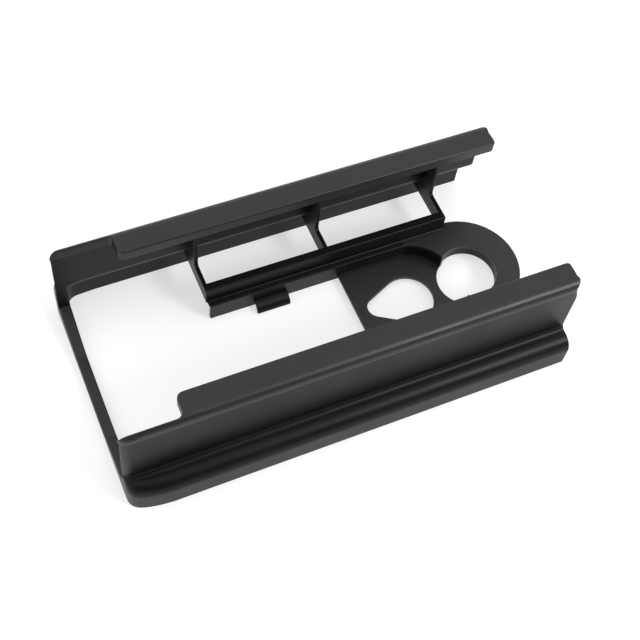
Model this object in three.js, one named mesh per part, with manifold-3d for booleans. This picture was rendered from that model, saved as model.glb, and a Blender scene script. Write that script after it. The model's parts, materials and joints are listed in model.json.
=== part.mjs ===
// A moulded plastic carrier frame: two mirrored side rails joined by an end bar and by a hole plate.
// Millimetres. X runs along the frame from the end bar to the open end, Y across it, Z up.
// The origin is in the middle of the footprint, on the plane that the frame stands on.
// Each section of the moulding is its own closed solid, a hair apart from its neighbours.
import * as THREE from "three";
import { mergeVertices } from "three/addons/utils/BufferGeometryUtils.js";
import Module from "manifold-3d";

const wasm = await Module();
wasm.setup();

// Overall sizes
const LENGTH = 201.6;
const SIDE_LENGTH = 200;
const HEIGHT = 50.6;
const WALL = 2;
const GAP = 0.3;
const PAST = 5;
const MERGE = 1e-3;
const LEFT = -LENGTH / 2;

// Side wall, from the flange down to the shoulder of the skirt, which is higher on the left side
const WALL_TOP_Y = 45.6;
const WALL_FOOT_Y = 45.8;
const LEFT_SHOULDER_Z = 24.8;
const RIGHT_SHOULDER_Z = 19;
const WALL_TOP_Z = 46;

// Top flange
const FLANGE_INNER_Y = 33.4;
const FLANGE_ROUND = 3.8;
const FLANGE_THICK = 2.2;
const LIP_Z = 45.2;
const RIM_INNER_Y = 43.2;
const STEP_X = 26.3;
const STEP_FILLET = 2.5;
const STEP_ROUND = 3;
const END_ROUND = 3.5;
const CORNER_ROUND = 5;

// Base skirt: a concave shoulder of radius S_IN, then a convex one of radius S_OUT
const LEDGE_Y = 48.4;
const S_IN = 2.6;
const S_OUT = 6.4;
const S_IN_STOP = 0.06;
const SKIRT_Y = 54.8;
const SKIRT_FROM_Y = 43.4;
const SKIRT_CORNER = [[18, SKIRT_Y], [9, 54.4], [4.2, 52.6], [0, 51], [0, 46.5]];
const POST_X = 5.5;
const HOLLOW_CORNER = [[12, SKIRT_Y - WALL], [POST_X, SKIRT_Y - WALL - 1], [POST_X, 45]];

// End bar, which ramps up towards both corners
const BAR_X = 4.7;
const BAR_Z = 4;
const BAR_EDGE = 0.6;
const RAMP_Y = 20;
const RAMP_Z = 9.4;

// Ribs between the side wall and the guide rail
const RIB_X = [59.8, 117, 174.6];
const RIB_THICK = 1.8;
const WEB_Y = 37.5;
const WEB_FILLET = 1.6;
const STRUT_TOP_Z = 19.3;
const LAND_Z = 11.2;

// Guide rail: a stepped section, top flange, upper face, land, lower face
const RAIL_X0 = 60.2;
const RAIL_X1 = 176.4;
const RAIL_FACE_Y = 23.1;
const RAIL_BACK_Y = 27.1;
const LAND_Y = 19.9;
const RAIL_FOOT_Y = 20.6;

// Snap tab on the lower face of the rail
const TAB_X0 = 81.6;
const TAB_X1 = 97.4;
const TAB_REACH = 4.4;
const TAB_TOP_Z = 5;
const TAB_FOOT_Z = 0.5;
const TAB_THICK = 1.5;

// Hole plate
const PLATE_CENTRE_X = 176;
const PLATE_ROUND = 25.6;
const RIM_DROP = 4.8;
const COLLAR_DROP = 6.4;
const HOLE_X = 176.8;
const HOLE_Y = -2.1;
const HOLE_ROUND = 13.2;
const RECESS_X0 = 122.5;
const RECESS_CENTRE_X = 149.7;
const LEFT_RECESS_ROUND = 21;
const RIGHT_RECESS_ROUND = 25;
const RECESS_Y = LAND_Y - GAP;
const FLOOR_Z = 3.9;
const KEY_BIG = { x: 147.4, y: -2.6, r: 11.8 };
const KEY_SMALL = { x: 133.1, y: -1.7, r: 5.2 };

// How finely the curves of the hole plate are cut
const PLATE_CUTS = 24;
const HOLE_CUTS = 20;
const RECESS_CUTS = 16;
const KEY_CUTS = 12;

const group = new THREE.Group();

// Solids and meshes

function solid(geometry) {
  const bare = geometry.index ? geometry.toNonIndexed() : geometry.clone();
  bare.deleteAttribute("normal");
  bare.deleteAttribute("uv");
  const merged = mergeVertices(bare, MERGE);
  const vertProperties = merged.attributes.position.array;
  const triVerts = new Uint32Array(merged.index.array);
  return new wasm.Manifold(new wasm.Mesh({ numProp: 3, vertProperties, triVerts }));
}

function geometryOf(body) {
  const mesh = body.getMesh();
  const geometry = new THREE.BufferGeometry();
  geometry.setAttribute("position", new THREE.BufferAttribute(mesh.vertProperties, 3));
  geometry.setIndex(new THREE.BufferAttribute(mesh.triVerts, 1));
  geometry.computeVertexNormals();
  return geometry;
}

// The same outline as straight runs, without the repeated points where two curves meet.
function facets(shape, curveSegments) {
  const points = shape.getPoints(curveSegments);
  const kept = points.filter((point, i) => point.distanceTo(points.at(i - 1)) > MERGE);
  return new THREE.Shape(kept);
}

// A shape drawn in (y, z), extruded along X from x0 to x1, measured from the end bar's outer face.
function alongX(shape, x0, x1, curveSegments = 6) {
  const outline = facets(shape, curveSegments);
  const geometry = new THREE.ExtrudeGeometry(outline, { depth: x1 - x0, bevelEnabled: false });
  const turn = new THREE.Matrix4().makeBasis(
    new THREE.Vector3(0, 1, 0),
    new THREE.Vector3(0, 0, 1),
    new THREE.Vector3(1, 0, 0),
  );
  geometry.applyMatrix4(turn);
  geometry.translate(LEFT + x0, 0, 0);
  return solid(geometry);
}

// A plan shape drawn in (x, y), x from the end bar's outer face, extruded from z0 up to z1.
function upright(shape, z0, z1, curveSegments = 8) {
  const outline = facets(shape, curveSegments);
  const geometry = new THREE.ExtrudeGeometry(outline, { depth: z1 - z0, bevelEnabled: false });
  geometry.translate(LEFT, 0, z0);
  return solid(geometry);
}

function polygon(points) {
  return new THREE.Shape(points.map(([a, b]) => new THREE.Vector2(a, b)));
}

function rectangle(a0, a1, b0, b1) {
  return polygon([[a0, b0], [a1, b0], [a1, b1], [a0, b1]]);
}

function disc(x, y, r) {
  return new THREE.Shape().absarc(x, y, r, 0, 2 * Math.PI);
}

function plastic(colour, roughness) {
  return new THREE.MeshStandardMaterial({ color: colour, roughness, metalness: 0 });
}

const GRAINED = { colour: 0x1b1b1c, roughness: 0.55 };
const SMOOTH = { colour: 0x181716, roughness: 0.38 };

function place(name, body, finish) {
  const mesh = new THREE.Mesh(geometryOf(body), plastic(finish.colour, finish.roughness));
  mesh.name = name;
  group.add(mesh);
  return mesh;
}

// Both sides are drawn at positive Y for their own shoulder height, and the right one is mirrored.
function placePair(name, make, finish) {
  place("left_" + name, make(LEFT_SHOULDER_Z), finish);
  place("right_" + name, make(RIGHT_SHOULDER_Z), finish).scale.y = -1;
}

// Side walls

function sideWall(shoulder) {
  return alongX(
    polygon([
      [WALL_FOOT_Y, shoulder + GAP / 2],
      [WALL_TOP_Y, WALL_TOP_Z - GAP / 2],
      [WALL_TOP_Y - WALL, WALL_TOP_Z - GAP / 2],
      [WALL_FOOT_Y - WALL, shoulder + GAP / 2],
    ]),
    POST_X + GAP,
    SIDE_LENGTH,
  );
}

// Top flanges

function flangeOutline() {
  const shape = new THREE.Shape();
  const centreY = WALL_TOP_Y - CORNER_ROUND;
  const bend = Math.asin((RIM_INNER_Y - centreY) / CORNER_ROUND);
  shape.moveTo(CORNER_ROUND * (1 - Math.cos(bend)), RIM_INNER_Y);
  shape.lineTo(STEP_X - STEP_FILLET, RIM_INNER_Y);
  shape.absarc(STEP_X - STEP_FILLET, RIM_INNER_Y - STEP_FILLET, STEP_FILLET, Math.PI / 2, 0, true);
  shape.absarc(STEP_X + STEP_ROUND, FLANGE_INNER_Y + STEP_ROUND, STEP_ROUND, Math.PI, 1.5 * Math.PI, false);
  shape.absarc(SIDE_LENGTH - END_ROUND, FLANGE_INNER_Y + END_ROUND, END_ROUND, 1.5 * Math.PI, 0, false);
  shape.absarc(SIDE_LENGTH - END_ROUND, WALL_TOP_Y - END_ROUND, END_ROUND, 0, Math.PI / 2, false);
  shape.absarc(CORNER_ROUND, centreY, CORNER_ROUND, Math.PI / 2, Math.PI - bend, false);
  return shape;
}

function topFlange() {
  const section = new THREE.Shape();
  section.moveTo(FLANGE_INNER_Y - PAST, LIP_Z);
  section.lineTo(RIM_INNER_Y, LIP_Z);
  section.lineTo(RIM_INNER_Y, WALL_TOP_Z + GAP / 2);
  section.lineTo(WALL_TOP_Y, WALL_TOP_Z + GAP / 2);
  section.absarc(WALL_TOP_Y - FLANGE_ROUND, HEIGHT - FLANGE_ROUND, FLANGE_ROUND, 0, Math.PI / 2, false);
  section.lineTo(FLANGE_INNER_Y - PAST, HEIGHT);
  const block = alongX(section, 0, SIDE_LENGTH).intersect(upright(flangeOutline(), 0, HEIGHT + PAST));
  const overPost = rectangle(-PAST, POST_X + GAP, SKIRT_FROM_Y - PAST, WALL_TOP_Y + PAST);
  const pocket = rectangle(
    STEP_X + WALL,
    SIDE_LENGTH - WALL,
    FLANGE_INNER_Y + WALL,
    WALL_TOP_Y - WALL,
  );
  return block
    .subtract(upright(pocket, 0, HEIGHT - FLANGE_THICK))
    .subtract(upright(overPost, 0, WALL_TOP_Z + GAP / 2));
}

// Base skirts

function skirtSection(shoulder, offset) {
  const ledge = shoulder - S_IN;
  const section = new THREE.Shape();
  section.moveTo(SKIRT_FROM_Y - offset * PAST, -offset);
  section.lineTo(SKIRT_Y - offset, -offset);
  section.absarc(LEDGE_Y, ledge - S_OUT, S_OUT - offset, 0, Math.PI / 2, false);
  section.absarc(LEDGE_Y, shoulder, S_IN + offset, 1.5 * Math.PI, Math.PI + S_IN_STOP, true);
  section.lineTo(WALL_FOOT_Y - offset, shoulder - GAP / 2 + offset);
  section.lineTo(SKIRT_FROM_Y - offset * PAST, shoulder - GAP / 2 + offset);
  return section;
}

function skirtOutline() {
  const [start, bend1, middle, bend2, end] = SKIRT_CORNER;
  const shape = new THREE.Shape();
  shape.moveTo(0, SKIRT_FROM_Y);
  shape.lineTo(SIDE_LENGTH, SKIRT_FROM_Y);
  shape.lineTo(SIDE_LENGTH, SKIRT_Y);
  shape.lineTo(...start);
  shape.quadraticCurveTo(...bend1, ...middle);
  shape.quadraticCurveTo(...bend2, ...end);
  return shape;
}

function skirtHollow() {
  const shape = new THREE.Shape();
  shape.moveTo(POST_X, SKIRT_FROM_Y - PAST);
  shape.lineTo(SIDE_LENGTH + PAST, SKIRT_FROM_Y - PAST);
  shape.lineTo(SIDE_LENGTH + PAST, SKIRT_Y);
  shape.lineTo(...HOLLOW_CORNER[0]);
  shape.quadraticCurveTo(...HOLLOW_CORNER[1], ...HOLLOW_CORNER[2]);
  return shape;
}

function baseSkirt(shoulder) {
  const low = -PAST;
  const high = shoulder + PAST;
  const full = alongX(skirtSection(shoulder, 0), 0, SIDE_LENGTH);
  const outer = full.intersect(upright(skirtOutline(), low, high));
  const inner = alongX(skirtSection(shoulder, WALL), 0, SIDE_LENGTH + PAST);
  return outer.subtract(inner.intersect(upright(skirtHollow(), low, high)));
}

// End bar and corner posts

function endBar() {
  const end = SKIRT_FROM_Y - GAP;
  const edge = BAR_EDGE;
  const profile = (drop) => polygon([
    [-end, -PAST],
    [end, -PAST],
    [end, RAMP_Z - drop],
    [RAMP_Y, BAR_Z - drop],
    [-RAMP_Y, BAR_Z - drop],
    [-end, RAMP_Z - drop],
  ]);
  const low = alongX(profile(edge), 0, BAR_X);
  const high = alongX(profile(0), edge, BAR_X - edge);
  const ground = alongX(rectangle(-end, end, -2 * PAST, 0), -PAST, BAR_X + PAST);
  return low.add(high).subtract(ground);
}

function cornerPost(shoulder) {
  const low = shoulder + GAP / 2;
  const top = WALL_TOP_Z - GAP / 2;
  const section = polygon([
    [SKIRT_FROM_Y, low],
    [WALL_FOOT_Y, low],
    [WALL_TOP_Y, top],
    [SKIRT_FROM_Y, top],
  ]);
  const centreY = WALL_FOOT_Y - CORNER_ROUND;
  const plan = new THREE.Shape();
  plan.moveTo(0, centreY);
  plan.lineTo(POST_X, centreY);
  plan.lineTo(POST_X, WALL_FOOT_Y);
  plan.absarc(CORNER_ROUND, centreY, CORNER_ROUND, Math.PI / 2, Math.PI, false);
  return alongX(section, 0, POST_X).intersect(upright(plan, 0, HEIGHT));
}

// Ribs: a deep web under the flange, running down into a strut that carries the rail

function rib(x, shoulder) {
  const section = new THREE.Shape();
  const outer = S_OUT - WALL - GAP;
  const outerZ = shoulder - S_IN - S_OUT;
  const reach = LAND_Z > outerZ ? Math.asin((LAND_Z - outerZ) / outer) : 0;
  section.moveTo(RAIL_FACE_Y + WALL + GAP, STRUT_TOP_Z - WALL - GAP);
  section.lineTo(RAIL_FACE_Y + WALL + GAP, LAND_Z);
  section.lineTo(LEDGE_Y + outer * Math.cos(reach), LAND_Z);
  section.absarc(LEDGE_Y, outerZ, outer, reach, Math.PI / 2, false);
  section.absarc(LEDGE_Y, shoulder, S_IN + WALL + GAP, 1.5 * Math.PI, Math.PI, true);
  section.lineTo(WALL_TOP_Y - WALL - GAP, HEIGHT - FLANGE_THICK - GAP);
  section.lineTo(WEB_Y, HEIGHT - FLANGE_THICK - GAP);
  section.absarc(WEB_Y - WEB_FILLET, STRUT_TOP_Z + WEB_FILLET, WEB_FILLET, 0, 1.5 * Math.PI, true);
  section.lineTo(RAIL_BACK_Y + GAP, STRUT_TOP_Z);
  section.lineTo(RAIL_BACK_Y + GAP, STRUT_TOP_Z - WALL - GAP);
  return alongX(section, x, x + RIB_THICK);
}

// Guide rails and snap tabs

function guideRail() {
  return alongX(
    polygon([
      [RAIL_FACE_Y, STRUT_TOP_Z],
      [RAIL_FACE_Y, LAND_Z],
      [LAND_Y, LAND_Z],
      [RAIL_FOOT_Y, 0],
      [RAIL_FOOT_Y + WALL, 0],
      [LAND_Y + WALL, LAND_Z - WALL],
      [RAIL_FACE_Y + WALL, LAND_Z - WALL],
      [RAIL_FACE_Y + WALL, STRUT_TOP_Z - WALL],
      [RAIL_BACK_Y, STRUT_TOP_Z - WALL],
      [RAIL_BACK_Y, STRUT_TOP_Z],
    ]),
    RAIL_X0,
    RAIL_X1,
  );
}

function snapTab() {
  const root = LAND_Y - GAP;
  const tip = root - TAB_REACH;
  const drop = TAB_TOP_Z - TAB_FOOT_Z;
  const section = new THREE.Shape();
  section.moveTo(root, TAB_TOP_Z);
  section.absellipse(root, TAB_FOOT_Z, TAB_REACH, drop, Math.PI / 2, Math.PI, false);
  section.lineTo(tip + TAB_THICK, TAB_FOOT_Z);
  section.absellipse(root, TAB_FOOT_Z, TAB_REACH - TAB_THICK, drop - TAB_THICK, Math.PI, Math.PI / 2, true);
  return alongX(section, TAB_X0, TAB_X1);
}

// Hole plate

// The recess in plan, which ends in an arc of its own radius on each side. The arcs change over
// inside the round hole.
function recessShape(inset) {
  const halfWidth = RECESS_Y - inset;
  const left = LEFT_RECESS_ROUND - inset;
  const right = RIGHT_RECESS_ROUND - inset;
  const shape = new THREE.Shape();
  shape.moveTo(RECESS_X0, halfWidth);
  shape.lineTo(RECESS_X0, -halfWidth);
  shape.absarc(RECESS_CENTRE_X, 0, right, -Math.asin(halfWidth / right), 0, false);
  shape.absarc(RECESS_CENTRE_X, 0, left, 0, Math.asin(halfWidth / left), false);
  return shape;
}

// The keyhole's outline: two arcs and their common tangents.
function keyShape() {
  const axis = Math.atan2(KEY_SMALL.y - KEY_BIG.y, KEY_SMALL.x - KEY_BIG.x);
  const apart = Math.hypot(KEY_SMALL.x - KEY_BIG.x, KEY_SMALL.y - KEY_BIG.y);
  const spread = Math.acos((KEY_BIG.r - KEY_SMALL.r) / apart);
  const shape = new THREE.Shape();
  shape.absarc(KEY_BIG.x, KEY_BIG.y, KEY_BIG.r, axis + spread, axis - spread + 2 * Math.PI, false);
  shape.absarc(KEY_SMALL.x, KEY_SMALL.y, KEY_SMALL.r, axis - spread, axis + spread, false);
  return shape;
}

function upperPlate() {
  const sheet = LAND_Z - WALL;
  const joinX = RAIL_X1 + GAP;
  const tongue = upright(rectangle(RECESS_CENTRE_X, joinX + WALL, -RECESS_Y, RECESS_Y), sheet, LAND_Z);
  const halfDisc = disc(PLATE_CENTRE_X, 0, PLATE_ROUND);
  const keep = upright(rectangle(joinX, LENGTH + PAST, -PLATE_ROUND, PLATE_ROUND), 0, HEIGHT);
  const end = upright(halfDisc, sheet, LAND_Z, PLATE_CUTS).intersect(keep);
  const rimDisc = upright(halfDisc, LAND_Z - RIM_DROP, LAND_Z - WALL / 2, PLATE_CUTS);
  const rimHollow = upright(disc(PLATE_CENTRE_X, 0, PLATE_ROUND - WALL), 0, LAND_Z, PLATE_CUTS);
  const rim = rimDisc.subtract(rimHollow).intersect(keep);
  const hole = upright(disc(HOLE_X, HOLE_Y, HOLE_ROUND + WALL + GAP), 0, HEIGHT, HOLE_CUTS);
  const recess = upright(recessShape(-WALL - GAP), 0, HEIGHT, RECESS_CUTS);
  return tongue.add(end).add(rim).subtract(hole).subtract(recess);
}

function holeCollar() {
  const low = LAND_Z - COLLAR_DROP;
  const outer = upright(disc(HOLE_X, HOLE_Y, HOLE_ROUND + WALL), low, LAND_Z, HOLE_CUTS);
  const bore = upright(disc(HOLE_X, HOLE_Y, HOLE_ROUND), 0, HEIGHT, HOLE_CUTS);
  const recess = upright(recessShape(-WALL - GAP), 0, HEIGHT, RECESS_CUTS);
  return outer.subtract(bore).subtract(recess);
}

// The step between the upper plate and the keyhole floor, an arc that stops at the round hole.
function recessWall() {
  const outer = upright(recessShape(-WALL), FLOOR_Z - WALL, LAND_Z, RECESS_CUTS);
  const inner = upright(recessShape(0), 0, HEIGHT, RECESS_CUTS);
  const past = upright(rectangle(RECESS_CENTRE_X, LENGTH, -RECESS_Y, RECESS_Y), 0, HEIGHT);
  const hole = upright(disc(HOLE_X, HOLE_Y, HOLE_ROUND), 0, HEIGHT, HOLE_CUTS);
  const ring = outer.subtract(inner).intersect(past).subtract(hole);
  const leftHalf = upright(rectangle(0, LENGTH, 0, SKIRT_Y), 0, HEIGHT);
  const rightHalf = upright(rectangle(0, LENGTH, -SKIRT_Y, 0), 0, HEIGHT);
  return { left: ring.intersect(leftHalf), right: ring.intersect(rightHalf) };
}

function keyholeFloor() {
  const sheet = upright(recessShape(GAP), FLOOR_Z - WALL, FLOOR_Z, RECESS_CUTS);
  const hole = upright(disc(HOLE_X, HOLE_Y, HOLE_ROUND), 0, HEIGHT, HOLE_CUTS);
  return sheet.subtract(upright(keyShape(), 0, HEIGHT, KEY_CUTS)).subtract(hole);
}

placePair("side_wall", sideWall, SMOOTH);
placePair("top_flange", topFlange, GRAINED);
placePair("base_skirt", baseSkirt, SMOOTH);
placePair("corner_post", cornerPost, SMOOTH);
for (const [i, x] of RIB_X.entries()) {
  placePair("rib_" + (i + 1), (shoulder) => rib(x, shoulder), SMOOTH);
}
placePair("guide_rail", guideRail, SMOOTH);
placePair("snap_tab", snapTab, SMOOTH);
place("end_bar", endBar(), GRAINED);
place("upper_plate", upperPlate(), GRAINED);
place("hole_collar", holeCollar(), SMOOTH);
const step = recessWall();
place("left_recess_wall", step.left, SMOOTH);
place("right_recess_wall", step.right, SMOOTH);
place("keyhole_floor", keyholeFloor(), GRAINED);

export default group;
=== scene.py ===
"""A moulded plastic carrier frame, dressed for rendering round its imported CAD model.

Each CAD section gets a finer mesh with its real rounds and fillets. Sections meet flush, so that
the frame reads as one moulding. Sizes are in millimetres, with X counted from the end bar's outer face.
Both sides are drawn at positive Y, and the right one is then mirrored, apart from the two recess walls:
their arcs differ, so each is drawn on its own side.
"""

import json
import math

import bmesh
import bpy
from mathutils import Matrix, Vector


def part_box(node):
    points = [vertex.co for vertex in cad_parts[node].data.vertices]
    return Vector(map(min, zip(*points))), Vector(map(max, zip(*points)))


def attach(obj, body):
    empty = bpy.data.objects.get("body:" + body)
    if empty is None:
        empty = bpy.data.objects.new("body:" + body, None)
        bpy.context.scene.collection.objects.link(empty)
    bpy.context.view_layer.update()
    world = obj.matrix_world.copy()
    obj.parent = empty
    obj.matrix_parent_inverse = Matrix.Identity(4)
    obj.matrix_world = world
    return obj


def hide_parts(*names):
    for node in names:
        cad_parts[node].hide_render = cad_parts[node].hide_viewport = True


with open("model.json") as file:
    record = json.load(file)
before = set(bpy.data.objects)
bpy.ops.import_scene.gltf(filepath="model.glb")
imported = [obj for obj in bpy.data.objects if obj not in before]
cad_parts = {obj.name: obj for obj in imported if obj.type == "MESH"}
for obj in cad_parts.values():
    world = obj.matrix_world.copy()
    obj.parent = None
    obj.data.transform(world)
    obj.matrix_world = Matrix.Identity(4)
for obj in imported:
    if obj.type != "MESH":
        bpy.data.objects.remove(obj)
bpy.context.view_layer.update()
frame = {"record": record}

MM = 0.001
LEFT_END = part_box("left_base_skirt")[0].x


def sizes(node):
    """The lowest and highest corner of a CAD node in millimetres, with X from the end bar's outer face."""
    offset = Vector((LEFT_END, 0, 0))
    low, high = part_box(node)
    return (low - offset) / MM, (high - offset) / MM


# Driving sizes, read from the CAD nodes
BAR_HIGH = sizes("end_bar")[1]
SKIRT_HIGH = sizes("left_base_skirt")[1]
FLANGE_LOW, FLANGE_HIGH = sizes("left_top_flange")
RAIL_LOW, RAIL_HIGH = sizes("left_guide_rail")
TAB_LOW, TAB_HIGH = sizes("left_snap_tab")
PLATE_HIGH = sizes("upper_plate")[1]
COLLAR_LOW, COLLAR_HIGH = sizes("hole_collar")
FLOOR_LOW, FLOOR_HIGH = sizes("keyhole_floor")
RIBS = [sizes(f"left_rib_{i}") for i in (1, 2, 3)]
GAP = 0.3
SHOULDER = {side: sizes(f"{side}_base_skirt")[1].z + GAP / 2 for side in ("left", "right")}

WALL = 2.0
LENGTH = SKIRT_HIGH.x
HEIGHT = FLANGE_HIGH.z
LAND_Z = PLATE_HIGH.z
WALL_Y = FLANGE_HIGH.y
WALL_DRAFT = 0.2
SEAM_Z = 46.0
PLAN_ROUND = 4.5

# Edges left by the mould
FINE_EDGE = 0.3
SOFT_EDGE = 0.4
RAIL_TOP_EDGE = 0.6
RAIL_ROOT = 0.8
RAIL_STEP_EDGE = 0.5
FLUSH = 0.02

# Corner post: a short block along the wall's inside, which leans a little
POST_Y = 43.0
POST_LEAN = 0.02
POST_JOIN_X = 9.0
POST_FILLET = 0.15
POST_EDGE = 0.25
BLOCK_X = 5.1
BLOCK_LEAN = 0.05
BLOCK_LEAN_Z = 18.0
BLOCK_DRAFT = 0.2

# Side wall: its far end is nearly square at the foot and rounded under the flange
END_ROUND = 3.5
END_FOOT_ROUND = 0.6
END_BLEND_Z = 40.0
END_LEAD = 0.5

# Base skirt section: a concave shoulder, a ledge, a convex round and a drafted apron
LEDGE_Y = 48.4
CONVEX = 6.4
SKIRT_Y = SKIRT_HIGH.y
SPREAD = SKIRT_Y - WALL_Y
RIM_BEVEL = 0.12

# Apron in plan: the ends and pulls of its corner's curves, outside and inside
CORNER_X = 18.0
APRON_OUT = [(0, 46.5), (0, 51), (4.2, 52.6), (9, 54.4), (CORNER_X, SKIRT_Y)]
APRON_IN = [(BLOCK_X, 47), (BLOCK_X + 0.4, 51.8), (10, 52.4), (CORNER_X, SKIRT_Y - WALL)]

# Top flange: a narrow rim with a slanted lip, then the wide flange after the step
FLANGE_Y = FLANGE_LOW.y
LIP_Z = FLANGE_LOW.z
LIP_EDGE = 0.35
FLANGE_EDGE = 0.7
FLANGE_ROUND = 3.8
FLANGE_UNDER = HEIGHT - 2.2
FLANGE_ENDS = {"left": LENGTH + 0.5, "right": LENGTH}
END_INNER_ROUND = 1.8
END_RUN = 3.0
RIM_Y = 43.3
RIM_SLANT = 0.5
RIM_WALL = 0.6
RIM_EDGE_SHARE = 0.3
RIM_TURN_X = 8.0
RIM_TURN_PULL = 1.3
STEP_X = 26.3
STEP_FILLET = 2.5
STEP_ROUND = 3.0
STEP_BLEND = 4.0

# Where the outer edge is cut to match the rim, the step's fillet, the step's round and the long run
RIM_STATIONS = [12, 17, 20]
FILLET_STATIONS = [22.4 + 0.35 * k for k in range(9)]
ROUND_STATIONS = [26 + 0.5 * k for k in range(9)]
RUN_STATIONS = [60, 100, 140, 180]

# Ribs
WEB_Y = 37.3
WEB_FILLET = 1.6
RIB_EDGE = 0.25
RIB_HIDDEN = 0.5
RIB_RAIL_LAP = 0.6
RIB_BACK_Y = RAIL_LOW.y + 4.2
RIB_CHAMFER_Y = LEDGE_Y + 1.5
RIB_CHAMFER_DROP = 0.3
RIB_CHAMFER_RISE = 2.0

# Guide rail
RAIL_FACE_Y = RAIL_LOW.y + 3.2
RAIL_FOOT_SLANT = 0.7
RAIL_LEAD = 0.4
RAIL_LAG = 1.4
RAIL_LAG_RISE = 0.3
RAIL_LAG_SPAN = 0.8

# Snap tab
TAB_ROOT = 0.9
TAB_THICK = 1.5
TAB_EDGE = 0.35

# End bar: flat in the middle, and ramped up towards both corners
BAR_TOP = 4.0
BAR_EDGE = 0.7
BAR_HALF = POST_Y + 0.3
BAR_CUTS = 40
RAMP_Y = 19.0
RAMP_DIP = 0.04
RAMP_DIP_START = 0.03
RAMP_DIP_END = 0.12

# Hole plate
PLATE_ROUND = 25.6
PLATE_X = PLATE_HIGH.x - PLATE_ROUND
HOLE_R = 13.2
HOLE = Vector((COLLAR_HIGH.x - HOLE_R - WALL, (COLLAR_LOW.y + COLLAR_HIGH.y) / 2))
RECESS = Vector((149.7, 0))
RECESS_R = {1: 21.0, -1: 25.0}
FLOOR_LAP = 0.7
STEP_WALL_LAP = 0.9
STEP_WALL_EDGE = 0.1
PLATE_LAP = 3.1
TONGUE_LAP = 0.5
KEY_BIG = (147.4, -2.6, 11.8)
KEY_SMALL = (133.1, -1.7, 5.2)

# How finely curves are cut
ARC_STEP = math.radians(14)
POST_STEP = math.radians(20)
CURVE_CUTS = 12
CORNER_CUTS = 20
PLAN_CUTS = 28
HEIGHT_CUTS = 14
FLANGE_CUTS = 16
TURN_CUTS = 8
TOP_EDGE_CUTS = 5
EDGE_CUTS = 4
HOLE_CUTS = 72

# How meshes are cleaned and shaded
WELD = 0.004
SLIVER = 0.002
BEVEL_ANGLE = math.radians(40)
SHARP_ANGLE = math.radians(38)


# Outlines in two dimensions

def arc(x, y, radius, a0, a1, count):
    """Points on an arc from angle a0 to a1, in degrees."""
    angles = [math.radians(a0 + (a1 - a0) * k / count) for k in range(count + 1)]
    return [Vector((x + radius * math.cos(a), y + radius * math.sin(a))) for a in angles]


def rounded(corners, closed=True, step=ARC_STEP):
    """An outline through corners (a, b, radius), with each corner replaced by its arc."""
    points = []
    last = len(corners) - 1
    for i, (a, b, radius) in enumerate(corners):
        corner = Vector((a, b))
        if radius <= 0 or (not closed and i in (0, last)):
            points.append(corner)
            continue
        before = (Vector(corners[i - 1][:2]) - corner).normalized()
        after = (Vector(corners[(i + 1) % len(corners)][:2]) - corner).normalized()
        half = before.angle(after) / 2
        centre = corner + (before + after).normalized() * radius / math.sin(half)
        start = corner + before * radius / math.tan(half) - centre
        end = corner + after * radius / math.tan(half) - centre
        first = math.atan2(start.y, start.x)
        sweep = math.remainder(math.atan2(end.y, end.x) - first, 2 * math.pi)
        count = max(2, math.ceil(abs(sweep) / step))
        points += arc(centre.x, centre.y, radius, math.degrees(first), math.degrees(first + sweep), count)
    return points


def bezier(p0, p1, p2, count=CURVE_CUTS):
    """A curve from p0 to p2, pulled towards p1."""
    p0, p1, p2 = Vector(p0), Vector(p1), Vector(p2)
    steps = [k / count for k in range(count + 1)]
    return [p0 * (1 - t) ** 2 + p1 * 2 * t * (1 - t) + p2 * t * t for t in steps]


def resample(points, count):
    """The same open run, as count + 1 points at equal spacing."""
    lengths = [0.0]
    for a, b in zip(points, points[1:]):
        lengths.append(lengths[-1] + (b - a).length)
    out = []
    j = 0
    for k in range(count + 1):
        want = lengths[-1] * k / count
        while j < len(points) - 2 and lengths[j + 1] < want:
            j += 1
        span = lengths[j + 1] - lengths[j]
        t = (want - lengths[j]) / span if span > 0 else 0
        out.append(points[j].lerp(points[j + 1], min(max(t, 0), 1)))
    return out


def ease(t):
    """A smooth step from 0 to 1."""
    t = min(max(t, 0), 1)
    return t * t * (3 - 2 * t)


# Meshes

def make_object(name, mesh, bevel=0):
    """An evenly shaded object in the scene, with its marked edges rounded by a bevel."""
    mesh.name = name
    for polygon in mesh.polygons:
        polygon.use_smooth = True
    mesh.set_sharp_from_angle(angle=SHARP_ANGLE)
    obj = bpy.data.objects.new(name, mesh)
    bpy.context.scene.collection.objects.link(obj)
    if bevel:
        rounds = obj.modifiers.new("rounded edges", "BEVEL")
        rounds.limit_method = "WEIGHT"
        rounds.width = bevel * MM
        rounds.segments = 3
        rounds.use_clamp_overlap = True
    shading = obj.modifiers.new("even shading", "WEIGHTED_NORMAL")
    shading.keep_sharp = True
    return obj


def finish_mesh(name, bm, mirror, bevel=0):
    """Cleans a mesh given in millimetres, moves it into the frame and marks the edges to round."""
    bmesh.ops.remove_doubles(bm, verts=bm.verts, dist=WELD)
    bmesh.ops.dissolve_degenerate(bm, edges=bm.edges, dist=SLIVER)
    weights = bm.edges.layers.float.new("bevel_weight_edge")
    for edge in bm.edges:
        if len(edge.link_faces) == 2 and edge.calc_face_angle(0) > BEVEL_ANGLE:
            edge[weights] = 1
    for vert in bm.verts:
        x, y, z = vert.co
        vert.co = (LEFT_END + x * MM, (-y if mirror else y) * MM, z * MM)
    bmesh.ops.recalc_face_normals(bm, faces=bm.faces)
    mesh = bpy.data.meshes.new(name)
    bm.to_mesh(mesh)
    bm.free()
    return make_object(name, mesh, bevel)


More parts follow.
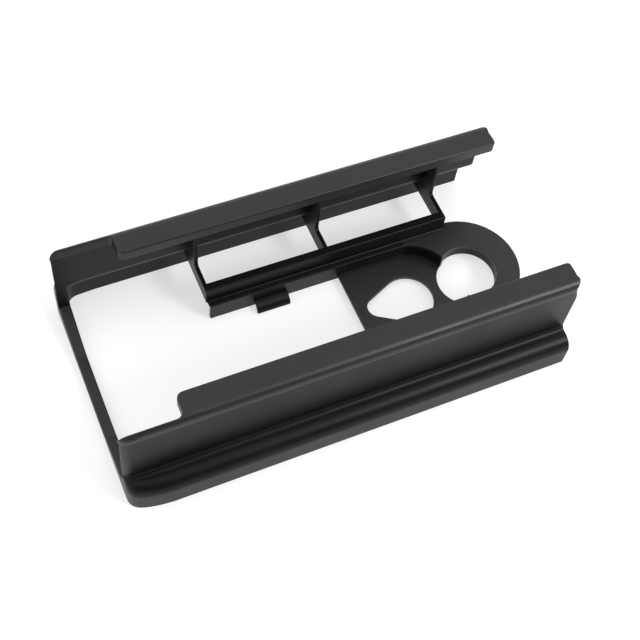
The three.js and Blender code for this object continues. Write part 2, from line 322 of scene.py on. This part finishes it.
def loft(rings):
    """A closed skin through rings of points, with a flat face at each end."""
    bm = bmesh.new()
    rows = [[bm.verts.new(p) for p in ring] for ring in rings]
    count = len(rows[0])
    for row, following in zip(rows, rows[1:]):
        for i in range(count):
            j = (i + 1) % count
            bm.faces.new((row[i], row[j], following[j], following[i]))
    bm.faces.new(rows[0][::-1])
    bm.faces.new(rows[-1])
    return bm


def prism(outline, x0, x1):
    """An outline in (y, z), run along X."""
    return loft([[(x, p[0], p[1]) for p in outline] for x in (x0, x1)])


def levels(foot):
    """Heights from the flange's seam down to the shoulder of the skirt."""
    return [SEAM_Z + (foot - SEAM_Z) * k / HEIGHT_CUTS for k in range(HEIGHT_CUTS + 1)]


# Side shell: shared plan curves

def block_x(z):
    """How far the corner block reaches along the wall at a height."""
    return BLOCK_X + BLOCK_LEAN * max(z - BLOCK_LEAN_Z, 0)


def wall_outer(z, foot):
    """The wall's outer face at a height."""
    return WALL_Y + WALL_DRAFT * (SEAM_Z - max(z, foot)) / (SEAM_Z - foot)


def outer_corner(y_start, x_end, wall_y):
    """The outside of the shell in plan, from the end face at y_start, round the corner, to x_end."""
    centre_y = wall_y - PLAN_ROUND
    first = 180 - math.degrees(math.asin((y_start - centre_y) / PLAN_ROUND))
    return arc(PLAN_ROUND, centre_y, PLAN_ROUND, first, 90, CORNER_CUTS) + [Vector((x_end, wall_y))]


# Corner post

def post_ring(z, foot):
    """The post in plan at a height: outside, wall inside, and the block's rounded inner edge."""
    wall_y = wall_outer(z, foot)
    face_y = POST_Y + POST_LEAN * (z - foot)
    outside = outer_corner(face_y, POST_JOIN_X, wall_y)
    x = block_x(z)
    inside = rounded(
        [
            (POST_JOIN_X, wall_y - WALL, 0),
            (x + BLOCK_DRAFT, wall_y - WALL, POST_FILLET),
            (x, face_y, POST_EDGE),
            (outside[0].x, face_y, 0),
        ],
        closed=False,
        step=POST_STEP,
    )
    return [(p.x, p.y, z) for p in outside + inside[:-1]]


def corner_post(name, mirror, foot):
    return finish_mesh(name, loft([post_ring(z, foot) for z in levels(foot)]), mirror)


# Side wall

def wall_ring(z, foot):
    """The wall in plan, with rounded edges at its far end."""
    wall_y = wall_outer(z, foot)
    inner_y = wall_y - WALL
    blend = ease((z - END_BLEND_Z) / (SEAM_Z - END_BLEND_Z))
    radius = END_FOOT_ROUND + (END_ROUND - END_FOOT_ROUND) * blend
    centre = Vector((LENGTH - radius, wall_y - radius))
    last = 0 if radius <= WALL else math.degrees(math.asin((radius - WALL) / radius))
    end = arc(centre.x, centre.y, radius, 90, last, CURVE_CUTS)
    end.append(Vector((end[-1].x, inner_y + FINE_EDGE)))
    end.append(Vector((end[-1].x - FINE_EDGE, inner_y)))
    run = [Vector((LENGTH - END_ROUND - END_LEAD, wall_y))] + end
    run = resample(run, CORNER_CUTS)
    ring = [Vector((POST_JOIN_X, wall_y))] + run + [Vector((POST_JOIN_X, inner_y))]
    return [(p.x, p.y, z) for p in ring]


def side_wall(name, mirror, foot):
    return finish_mesh(name, loft([wall_ring(z, foot) for z in levels(foot)]), mirror)


# Base skirt

def skirt_levels(foot):
    """Outer and inner section points (y, z), paired from the shoulder down to the rim."""
    top_y = WALL_Y + WALL_DRAFT
    concave = LEDGE_Y - top_y
    round_z = foot - concave - CONVEX
    quarter = [math.pi / 2 * k / CURVE_CUTS for k in range(CURVE_CUTS + 1)]
    pairs = [((top_y, foot), (top_y - WALL, foot))]
    for a in quarter[1:]:
        pairs.append(tuple(
            (LEDGE_Y - radius * math.cos(a), foot - radius * math.sin(a))
            for radius in (concave, concave + WALL)
        ))
    for a in quarter[-2::-1]:
        pairs.append(tuple(
            (LEDGE_Y + radius * math.cos(a), round_z + radius * math.sin(a))
            for radius in (CONVEX, CONVEX - WALL)
        ))
    for bite, z in ((0, SOFT_EDGE), (RIM_BEVEL, RIM_BEVEL), (SOFT_EDGE, 0)):
        pairs.append(((SKIRT_Y - bite, z), (SKIRT_Y - WALL + bite, z)))
    return pairs


def skirt_plans():
    """The four plan curves that the skirt runs between: high and low, outside and inside."""
    high_out = outer_corner(POST_Y, CORNER_X, WALL_Y)
    start, pull1, middle, pull2, end = APRON_OUT
    low_out = [Vector((0, POST_Y)), Vector(start)]
    low_out += bezier(start, pull1, middle)[1:] + bezier(middle, pull2, end)[1:]
    inner_y = WALL_Y - WALL
    high_in = [(BLOCK_X, POST_Y), (BLOCK_X + BLOCK_DRAFT, inner_y), (CORNER_X, inner_y)]
    high_in = [Vector(p) for p in high_in]
    start, pull, middle, end = APRON_IN
    low_in = [Vector((BLOCK_X, POST_Y)), Vector(start)] + bezier(start, pull, middle)[1:] + [Vector(end)]
    return [resample(run, PLAN_CUTS) for run in (high_out, low_out, high_in, low_in)]


def skirt_ring(outer, inner, plans):
    """The skirt in plan at a level: between the wall's corner and the apron's wider corner."""
    high_out, low_out, high_in, low_in = plans
    w_out = (outer[0] - WALL_Y) / SPREAD
    w_in = (inner[0] - WALL_Y + WALL) / SPREAD
    ring = [(*a.lerp(b, w_out), outer[1]) for a, b in zip(high_out, low_out)]
    out_end = Vector((LENGTH, outer[0], outer[1]))
    in_end = Vector((LENGTH, inner[0], inner[1]))
    across = (in_end - out_end).normalized() * SOFT_EDGE
    back = Vector((-SOFT_EDGE, 0, 0))
    turns = [math.pi / 2 * k / EDGE_CUTS for k in range(EDGE_CUTS + 1)]
    edge = [(1 - math.sin(a), 1 - math.cos(a)) for a in turns]
    ring += [tuple(out_end + back * u + across * v) for u, v in edge]
    ring += [tuple(in_end + back * u - across * v) for u, v in edge[::-1]]
    ring += [(*a.lerp(b, w_in), inner[1]) for a, b in list(zip(high_in, low_in))[::-1]]
    return ring


def base_skirt(name, mirror, foot):
    plans = skirt_plans()
    rings = [skirt_ring(outer, inner, plans) for outer, inner in skirt_levels(foot)]
    return finish_mesh(name, loft(rings), mirror)


# Top flange

def inset(p):
    """How far a plan point lies inside the outer edge, round the corner as well."""
    centre = Vector((PLAN_ROUND, WALL_Y - PLAN_ROUND))
    if p.x < centre.x and p.y > centre.y:
        return PLAN_ROUND - (p - centre).length
    return WALL_Y - p.y


def flange_height(p):
    """The height of the flange's top over a plan point."""
    d = min(max(inset(p), 0), FLANGE_ROUND)
    return HEIGHT - FLANGE_ROUND + math.sqrt(FLANGE_ROUND ** 2 - (FLANGE_ROUND - d) ** 2)


def rim_stations():
    """Stations round the outer corner and along the narrow rim, as far as the step."""
    down = Vector((0, -1))
    lip_y = RIM_Y - RIM_SLANT
    outside = resample(outer_corner(lip_y, PLAN_ROUND + 0.01, WALL_Y), FLANGE_CUTS)
    first = outside[0].x
    shares = [(k / FLANGE_CUTS) ** RIM_TURN_PULL for k in range(FLANGE_CUTS + 1)]
    inside = [Vector((first + (RIM_TURN_X - first) * share, lip_y)) for share in shares]
    outside += [Vector((x, WALL_Y)) for x in RIM_STATIONS]
    inside += [Vector((x, lip_y)) for x in RIM_STATIONS]
    return [(a, b, down) for a, b in zip(outside, inside)]


def step_stations():
    """Stations over the step: a concave fillet, then a convex round, then the long straight edge."""
    fillet = Vector((STEP_X - STEP_FILLET, RIM_Y - RIM_SLANT - STEP_FILLET))
    run = arc(fillet.x, fillet.y, STEP_FILLET, 90, 0, TURN_CUTS)
    stations = [(Vector((x, WALL_Y)), p, fillet - p) for x, p in zip(FILLET_STATIONS, run)]
    centre = Vector((STEP_X + STEP_ROUND, FLANGE_Y + STEP_ROUND))
    run = arc(centre.x, centre.y, STEP_ROUND, 180, 270, TURN_CUTS)
    stations += [(Vector((x, WALL_Y)), p, p - centre) for x, p in zip(ROUND_STATIONS, run)]
    down = Vector((0, -1))
    return stations + [(Vector((x, WALL_Y)), Vector((x, FLANGE_Y)), down) for x in RUN_STATIONS]


def end_stations(end):
    """Stations round the inner corner of the far end and up its face, to meet the outer corner."""
    centre = Vector((end - END_INNER_ROUND, FLANGE_Y + END_INNER_ROUND))
    inside = arc(centre.x, centre.y, END_INNER_ROUND, 270, 360, TURN_CUTS)
    normals = [p - centre for p in inside]
    start_y = inside[-1].y
    rise = WALL_Y - END_ROUND - start_y
    inside += [Vector((end, start_y + rise * k / EDGE_CUTS)) for k in range(1, EDGE_CUTS + 1)]
    normals += [Vector((1, 0))] * EDGE_CUTS
    run = [Vector((end - END_ROUND - END_RUN, WALL_Y))]
    run += arc(end - END_ROUND, WALL_Y - END_ROUND, END_ROUND, 90, 0, CURVE_CUTS)
    return list(zip(resample(run, CURVE_CUTS), inside, normals))


def flange_ring(outside, inside, normal):
    """One cross-section of the flange, from the outside over the top and down to the lip."""
    width = (outside - inside).length
    share = min(width / WALL, 1)
    edge = min(FLANGE_EDGE, width * RIM_EDGE_SHARE)
    wide = ease((RIM_Y - RIM_SLANT - inside.y) / STEP_BLEND)
    slant = RIM_SLANT * (1 - wide) * min(width, 1)
    top_in = inside - normal * (edge + slant)
    reach = (outside - top_in).length
    ring = [(*outside, SEAM_Z)]
    for k in range(CURVE_CUTS + 1):
        d = FLANGE_ROUND * (1 - math.cos(math.pi / 2 * k / CURVE_CUTS))
        p = outside.lerp(top_in, min(d / reach, 1) if reach > 0 else 0)
        ring.append((*p, flange_height(p)))
    top = flange_height(top_in)
    ring.append((*top_in, top))
    for k in range(1, TOP_EDGE_CUTS + 1):
        a = math.pi / 2 * k / TOP_EDGE_CUTS
        p = top_in + normal * edge * math.sin(a)
        ring.append((*p, top - edge * (1 - math.cos(a))))
    lip_z = SEAM_Z + (LIP_Z - SEAM_Z) * share
    bottom = LIP_EDGE * share
    for k in range(EDGE_CUTS + 1):
        a = math.pi / 2 * k / EDGE_CUTS
        p = inside - normal * bottom * (1 - math.cos(a))
        ring.append((p.x, min(p.y, WALL_Y), lip_z + bottom * (1 - math.sin(a))))
    back = inside - normal * (WALL * wide + RIM_WALL * (1 - wide)) * share
    back.y = min(back.y, WALL_Y)
    under = SEAM_Z + (FLANGE_UNDER - SEAM_Z) * wide
    far = Vector((outside.x, max(min(WALL_Y - WALL, outside.y), back.y)))
    ring += [(*back, lip_z), (*back, under), (*far, under), (*far, SEAM_Z)]
    return ring


def top_flange(name, mirror, foot):
    end = FLANGE_ENDS["right" if mirror else "left"]
    stations = rim_stations() + step_stations() + end_stations(end)
    rings = [flange_ring(outside, inside, normal.normalized()) for outside, inside, normal in stations]
    return finish_mesh(name, loft(rings), mirror)


# Ribs, rails and tabs. Every maker of a side takes the shoulder's height, whether it needs it or not.

def rib(name, mirror, foot, low, high):
    """A deep web under the flange and a strut that carries the rail, held inside the side shell."""
    top_z = FLANGE_UNDER + RIB_HIDDEN
    skirt_y = SKIRT_Y - WALL + RIB_HIDDEN / 2
    concave = LEDGE_Y - WALL_Y - WALL_DRAFT + WALL - RIB_HIDDEN
    ledge_z = foot - concave
    outline = rounded(
        [
            (WALL_Y - WALL + RIB_HIDDEN, top_z, 0),
            (WEB_Y, top_z, 0),
            (WEB_Y, RAIL_HIGH.z, WEB_FILLET),
            (RAIL_HIGH.y - RIB_RAIL_LAP, RAIL_HIGH.z, 0),
            (RIB_BACK_Y, RAIL_HIGH.z - RIB_HIDDEN, 0),
            (RIB_BACK_Y, LAND_Z, 0),
            (skirt_y, LAND_Z, 0),
        ],
        closed=False,
    )
    outline.append(Vector((skirt_y, ledge_z - CONVEX + RIB_CHAMFER_RISE)))
    outline.append(Vector((RIB_CHAMFER_Y, ledge_z - RIB_CHAMFER_DROP)))
    outline += arc(LEDGE_Y, foot, concave, 270, 180, TURN_CUTS)
    return finish_mesh(name, prism(outline, low.x, high.x), mirror, bevel=RIB_EDGE)


def guide_rail(name, mirror, foot):
    """The stepped rail, whose lower wall starts a little after its upper part."""
    outline = rounded([
        (RAIL_FACE_Y, RAIL_HIGH.z, RAIL_TOP_EDGE),
        (RAIL_FACE_Y, LAND_Z, RAIL_ROOT),
        (RAIL_LOW.y, LAND_Z, RAIL_STEP_EDGE),
        (RAIL_LOW.y + RAIL_FOOT_SLANT, 0, SOFT_EDGE),
        (RAIL_LOW.y + RAIL_FOOT_SLANT + WALL, 0, SOFT_EDGE),
        (RAIL_LOW.y + WALL, LAND_Z - WALL, FINE_EDGE),
        (RAIL_FACE_Y + WALL, LAND_Z - WALL, SOFT_EDGE),
        (RAIL_FACE_Y + WALL, RAIL_HIGH.z - WALL, SOFT_EDGE),
        (RAIL_HIGH.y, RAIL_HIGH.z - WALL, FINE_EDGE),
        (RAIL_HIGH.y, RAIL_HIGH.z, SOFT_EDGE),
    ])

    def first_x(p):
        lag = ease((LAND_Z + RAIL_LAG_RISE - p.y) / RAIL_LAG_SPAN)
        return RAIL_LOW.x - RAIL_LEAD + RAIL_LAG * lag

    rings = [[(first_x(p), p.x, p.y) for p in outline], [(RAIL_HIGH.x, p.x, p.y) for p in outline]]
    return finish_mesh(name, loft(rings), mirror, bevel=FINE_EDGE)


def snap_tab(name, mirror, foot):
    """A curved catch that springs from the lower face of the rail."""
    root = TAB_HIGH.y + TAB_ROOT
    reach = root - TAB_LOW.y
    drop = TAB_HIGH.z - TAB_LOW.z
    turns = [math.radians(90 + 90 * k / CURVE_CUTS) for k in range(CURVE_CUTS + 1)]

    def quarter(thick):
        across, up = reach - thick, drop - thick
        return [Vector((root + across * math.cos(t), TAB_LOW.z + up * math.sin(t))) for t in turns]

    outline = quarter(0) + quarter(TAB_THICK)[::-1]
    return finish_mesh(name, prism(outline, TAB_LOW.x, TAB_HIGH.x), mirror, bevel=TAB_EDGE)


# End bar

def end_bar(name):
    """A low bar across the end, flat in the middle, that ramps up to both corner blocks."""
    rings = []
    for k in range(-BAR_CUTS, BAR_CUTS + 1):
        y = BAR_HALF * k / BAR_CUTS
        ramp = max(abs(y) - RAMP_Y, 0) / (BAR_HALF - RAMP_Y)
        dip = RAMP_DIP * (1 - ease(ramp / RAMP_DIP_END)) * ease(ramp / RAMP_DIP_START)
        top = BAR_TOP + (BAR_HIGH.z - BAR_TOP) * max(ramp - dip, 0)
        width = BAR_HIGH.x + (BLOCK_X - BAR_HIGH.x) * ease(ramp)
        corners = [(0, 0, FINE_EDGE), (width, 0, FINE_EDGE), (width, top, BAR_EDGE), (0, top, BAR_EDGE)]
        rings.append([(p.x, y, p.y) for p in rounded(corners)])
    return finish_mesh(name, loft(rings), False)


# Hole plate: flat shapes with holes and rounded edges

def sheet(name, loops, z0, z1, edge):
    """A flat sheet between z0 and z1 from closed outlines in (x, y): the outside, then any holes."""
    curve = bpy.data.curves.new(name, "CURVE")
    curve.dimensions = "2D"
    curve.fill_mode = "BOTH"
    curve.extrude = ((z1 - z0) / 2 - edge) * MM
    curve.bevel_depth = edge * MM
    curve.bevel_resolution = 2
    curve.offset = -edge * MM
    for points in loops:
        spline = curve.splines.new("POLY")
        spline.points.add(len(points) - 1)
        for point, p in zip(spline.points, points):
            point.co = (LEFT_END + p[0] * MM, p[1] * MM, 0, 1)
        spline.use_cyclic_u = True
    maker = bpy.data.objects.new(name, curve)
    bpy.context.scene.collection.objects.link(maker)
    bpy.context.view_layer.update()
    mesh = bpy.data.meshes.new_from_object(maker.evaluated_get(bpy.context.evaluated_depsgraph_get()))
    bpy.data.objects.remove(maker)
    mesh.transform(Matrix.Translation((0, 0, (z0 + z1) / 2 * MM)))
    weld = 0.001 * MM
    bm = bmesh.new()
    bm.from_mesh(mesh)
    bmesh.ops.remove_doubles(bm, verts=bm.verts, dist=weld)
    bmesh.ops.dissolve_degenerate(bm, edges=bm.edges, dist=weld)
    bmesh.ops.recalc_face_normals(bm, faces=bm.faces)
    bm.to_mesh(mesh)
    bm.free()
    return make_object(name, mesh)


def key_outline():
    """The keyhole: a wide round end and a narrow one, joined by straight flanks."""
    (x0, y0, r0), (x1, y1, r1) = KEY_BIG, KEY_SMALL
    axis = math.degrees(math.atan2(y1 - y0, x1 - x0))
    spread = math.degrees(math.acos((r0 - r1) / math.hypot(x1 - x0, y1 - y0)))
    wide = arc(x0, y0, r0, axis + spread, axis - spread + 360, count=48)
    return wide + arc(x1, y1, r1, axis - spread, axis + spread, count=24)


def circle_crossing(c0, r0, c1, r1, sign):
    """Where two circles cross, on one side of the line between their centres."""
    between = c1 - c0
    d = between.length
    a = (r0 * r0 - r1 * r1 + d * d) / (2 * d)
    h = math.sqrt(r0 * r0 - a * a)
    along = between / d
    return c0 + along * a + Vector((-along.y, along.x)) * h * sign


def angle_at(centre, point):
    return math.degrees(math.atan2(point.y - centre.y, point.x - centre.x))


def recess_arc(sign, extra, edge_y, count):
    """The recess's end on one side, from the height edge_y to the round hole, grown by extra."""
    radius = RECESS_R[sign] + extra
    hole = circle_crossing(RECESS, radius, HOLE, HOLE_R, sign)
    first = math.degrees(math.asin(edge_y / radius)) * sign
    return arc(RECESS.x, RECESS.y, radius, first, angle_at(RECESS, hole), count)


def hole_arc(start, end, radius):
    """The round hole's edge between two points, over the open end of the frame."""
    return arc(HOLE.x, HOLE.y, radius, angle_at(HOLE, start), angle_at(HOLE, end), HOLE_CUTS)


def upper_plate(name):
    """The plate round the hole: a rounded end, cut by the recess and by the round hole."""
    edge_y = RAIL_LOW.y + PLATE_LAP
    start_x = RAIL_HIGH.x
    side = math.degrees(math.acos((start_x - PLATE_X) / PLATE_ROUND))
    far, near = (recess_arc(sign, 0, RAIL_LOW.y + TONGUE_LAP, count=20) for sign in (1, -1))
    outline = arc(PLATE_X, 0, PLATE_ROUND, -side, side, HOLE_CUTS)
    outline += [Vector((start_x, edge_y)), Vector((far[0].x, edge_y))] + far
    outline += hole_arc(far[-1], near[-1], HOLE_R)[1:-1] + near[::-1]
    outline += [Vector((near[0].x, -edge_y)), Vector((start_x, -edge_y))]
    return sheet(name, [outline], LAND_Z - WALL, LAND_Z + FLUSH, FINE_EDGE)


def hole_collar(name):
    """The rim that hangs below the plate round the hole, open where the recess meets it."""
    far, near = (circle_crossing(RECESS, RECESS_R[sign], HOLE, HOLE_R, sign) for sign in (1, -1))
    radius = HOLE_R + FLUSH
    outline = hole_arc(near, far, radius + WALL) + hole_arc(far, near, radius)
    return sheet(name, [outline], COLLAR_LOW.z, LAND_Z - WALL / 2, FINE_EDGE)


def recess_wall(name, sign):
    """The curved step from the plate down to the keyhole floor, from the rail to the round hole."""
    edge_y = RAIL_LOW.y + STEP_WALL_LAP
    inside, outside = (recess_arc(sign, extra, edge_y, count=28) for extra in (FLUSH, WALL))
    outline = inside + outside[::-1]
    return sheet(name, [outline], FLOOR_HIGH.z - WALL, LAND_Z - WALL / 2, STEP_WALL_EDGE)


def keyhole_floor(name):
    """The sunk floor with its keyhole, up to the step and the round hole."""
    edge_y = RAIL_LOW.y + FLOOR_LAP
    far, near = (recess_arc(sign, FLOOR_LAP, edge_y, count=16) for sign in (1, -1))
    start = angle_at(HOLE, near[-1]) % 360
    end = angle_at(HOLE, far[-1]) % 360
    outline = [Vector((FLOOR_LOW.x, edge_y)), Vector((FLOOR_LOW.x, -edge_y))] + near
    outline += arc(HOLE.x, HOLE.y, HOLE_R, start, end, count=32)[1:-1] + far[::-1]
    return sheet(name, [outline, key_outline()], FLOOR_HIGH.z - WALL, FLOOR_HIGH.z, FINE_EDGE)


# Materials

def set_inputs(node, **values):
    """Sets a node's inputs by name, with spaces written as underscores."""
    for key, value in values.items():
        node.inputs[key.replace("_", " ")].default_value = value


def plastic(name, colour, tint_colour, roughness, ior, grain, grain_size):
    """Moulded plastic: a near-black body, a fine grain and slow changes of gloss."""
    material = bpy.data.materials.new(name)
    material.use_nodes = True
    nodes = material.node_tree.nodes
    links = material.node_tree.links
    shader = nodes["Principled BSDF"]
    where = nodes.new("ShaderNodeTexCoord")

    def noise(scale, detail):
        node = nodes.new("ShaderNodeTexNoise")
        set_inputs(node, Scale=scale, Detail=detail)
        links.new(where.outputs["Object"], node.inputs["Vector"])
        return node.outputs["Fac"]

    def spread(source, low, high):
        node = nodes.new("ShaderNodeMapRange")
        set_inputs(node, From_Min=0.3, From_Max=0.7, To_Min=low, To_Max=high)
        links.new(source, node.inputs["Value"])
        return node.outputs["Result"]

    def bump(source, distance, strength):
        node = nodes.new("ShaderNodeBump")
        set_inputs(node, Distance=distance * MM, Strength=strength)
        links.new(source, node.inputs["Height"])
        return node

    gloss = spread(noise(scale=35, detail=4), low=roughness - 0.03, high=roughness + 0.04)
    links.new(gloss, shader.inputs["Roughness"])
    tint = nodes.new("ShaderNodeMix")
    tint.data_type = "RGBA"
    for key, share in (("A", 0.85), ("B", 1.2)):
        tint.inputs[key].default_value = (*[c * share for c in colour], 1)
    links.new(spread(noise(scale=90, detail=5), low=0, high=1), tint.inputs["Factor"])
    links.new(tint.outputs["Result"], shader.inputs["Base Color"])
    pits = bump(noise(scale=1 / (grain_size * MM), detail=3), distance=0.04, strength=grain)
    swell = bump(noise(scale=60, detail=2), distance=0.4, strength=0.12)
    links.new(pits.outputs["Normal"], swell.inputs["Normal"])
    links.new(swell.outputs["Normal"], shader.inputs["Normal"])
    set_inputs(shader, IOR=ior, Specular_Tint=(*tint_colour, 1))
    return material


def floor_material():
    """A pale floor that glows a little, as over a light table."""
    material = bpy.data.materials.new("pale_floor")
    material.use_nodes = True
    shader = material.node_tree.nodes["Principled BSDF"]
    set_inputs(shader, Base_Color=(0.55, 0.545, 0.54, 1), Roughness=0.9, Specular_IOR_Level=0.1)
    set_inputs(shader, Emission_Color=(1, 0.99, 0.98, 1), Emission_Strength=0.55)
    return material


FINISH = {
    "grained_plastic": plastic(
        "grained_plastic",
        colour=(0.006, 0.006, 0.0063),
        tint_colour=(1, 0.98, 1),
        roughness=0.42,
        ior=1.5,
        grain=0.5,
        grain_size=0.5,
    ),
    "smooth_plastic": plastic(
        "smooth_plastic",
        colour=(0.005, 0.0047, 0.0044),
        tint_colour=(1, 0.96, 0.94),
        roughness=0.38,
        ior=1.27,
        grain=0.2,
        grain_size=0.5,
    ),
}
SLOT_OF = {row["node"]: row["material_slot"] for row in frame["record"]["subparts"]}


def dress(obj, node):
    """Puts a finished piece in the place of its CAD node."""
    slot = SLOT_OF[node]
    obj.data.materials.clear()
    obj.data.materials.append(FINISH[slot])
    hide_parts(node)
    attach(obj, "root")


# Camera, floor and lights

def camera(location, azimuth, elevation, roll, lens):
    """A camera at an azimuth and elevation, rolled about its own view."""
    a, e, r = (math.radians(v) for v in (azimuth, elevation, roll))
    back = Vector((math.sin(a) * math.cos(e), -math.cos(a) * math.cos(e), math.sin(e)))
    right = (-back).cross(Vector((0, 0, 1))).normalized()
    up = right.cross(-back)
    across = right * math.cos(r) + up * math.sin(r)
    upward = up * math.cos(r) - right * math.sin(r)
    data = bpy.data.cameras.new("camera")
    data.lens = lens
    data.sensor_width = 36
    obj = bpy.data.objects.new("camera", data)
    bpy.context.scene.collection.objects.link(obj)
    turn = Matrix((across, upward, back)).transposed().to_4x4()
    obj.matrix_world = Matrix.Translation(Vector(location) * MM) @ turn
    bpy.context.scene.camera = obj


def softbox(name, location, target, size, power, colour):
    """A square area light aimed at a target, in metres and watts."""
    light = bpy.data.lights.new(name, "AREA")
    light.shape = "SQUARE"
    light.size = size
    light.energy = power
    light.color = colour
    obj = bpy.data.objects.new(name, light)
    bpy.context.scene.collection.objects.link(obj)
    obj.location = location
    aim = Vector(target) - Vector(location)
    obj.rotation_euler = aim.to_track_quat("-Z", "Y").to_euler()


def lay_floor():
    """A wide level floor, a hair below the frame."""
    size = 12.0
    drop = 0.05 * MM
    mesh = bpy.data.meshes.new("floor")
    corners = [(-size, -size, 0), (size, -size, 0), (size, size, 0), (-size, size, 0)]
    mesh.from_pydata(corners, [], [(0, 1, 2, 3)])
    mesh.materials.append(floor_material())
    floor = bpy.data.objects.new("floor", mesh)
    floor.location.z = -drop
    bpy.context.scene.collection.objects.link(floor)


def sky():
    """A bright dome overhead and behind, and a dim one low in front."""
    world = bpy.data.worlds.new("studio")
    world.use_nodes = True
    nodes = world.node_tree.nodes
    links = world.node_tree.links
    where = nodes.new("ShaderNodeTexCoord")
    parts = nodes.new("ShaderNodeSeparateXYZ")
    fade = nodes.new("ShaderNodeMapRange")
    fade.interpolation_type = "SMOOTHSTEP"
    set_inputs(fade, From_Min=-0.8, From_Max=-0.4, To_Min=0.08, To_Max=1.12)
    links.new(where.outputs["Generated"], parts.inputs["Vector"])
    links.new(parts.outputs["Y"], fade.inputs["Value"])
    links.new(fade.outputs["Result"], nodes["Background"].inputs["Strength"])
    set_inputs(nodes["Background"], Color=(0.98, 0.99, 1, 1))
    return world


camera(location=(-132.6, -222.5, 435.4), azimuth=-31.53, elevation=58.71, roll=9.55, lens=64.08)
lay_floor()
softbox(
    "key",
    location=(0.42, -0.5, 0.58),
    target=(0.05, 0, 0),
    size=0.22,
    power=3.4,
    colour=(1, 0.98, 0.96),
)
bpy.context.scene.world = sky()
bpy.context.scene.view_settings.view_transform = "Standard"

# Pieces that both sides have, then the pieces that there is one of

SIDE_MAKERS = {
    "side_wall": side_wall,
    "top_flange": top_flange,
    "base_skirt": base_skirt,
    "corner_post": corner_post,
    "guide_rail": guide_rail,
    "snap_tab": snap_tab,
}
SINGLE_MAKERS = {
    "end_bar": end_bar,
    "upper_plate": upper_plate,
    "hole_collar": hole_collar,
    "keyhole_floor": keyhole_floor,
}
for side, mirror in (("left", False), ("right", True)):
    foot = SHOULDER[side]
    for part, maker in SIDE_MAKERS.items():
        node = f"{side}_{part}"
        dress(maker(node + "_form", mirror, foot), node)
    for number, (low, high) in enumerate(RIBS, 1):
        node = f"{side}_rib_{number}"
        dress(rib(node + "_form", mirror, foot, low, high), node)
    node = f"{side}_recess_wall"
    dress(recess_wall(node + "_form", -1 if mirror else 1), node)
for node, maker in SINGLE_MAKERS.items():
    dress(maker(node + "_form"), node)
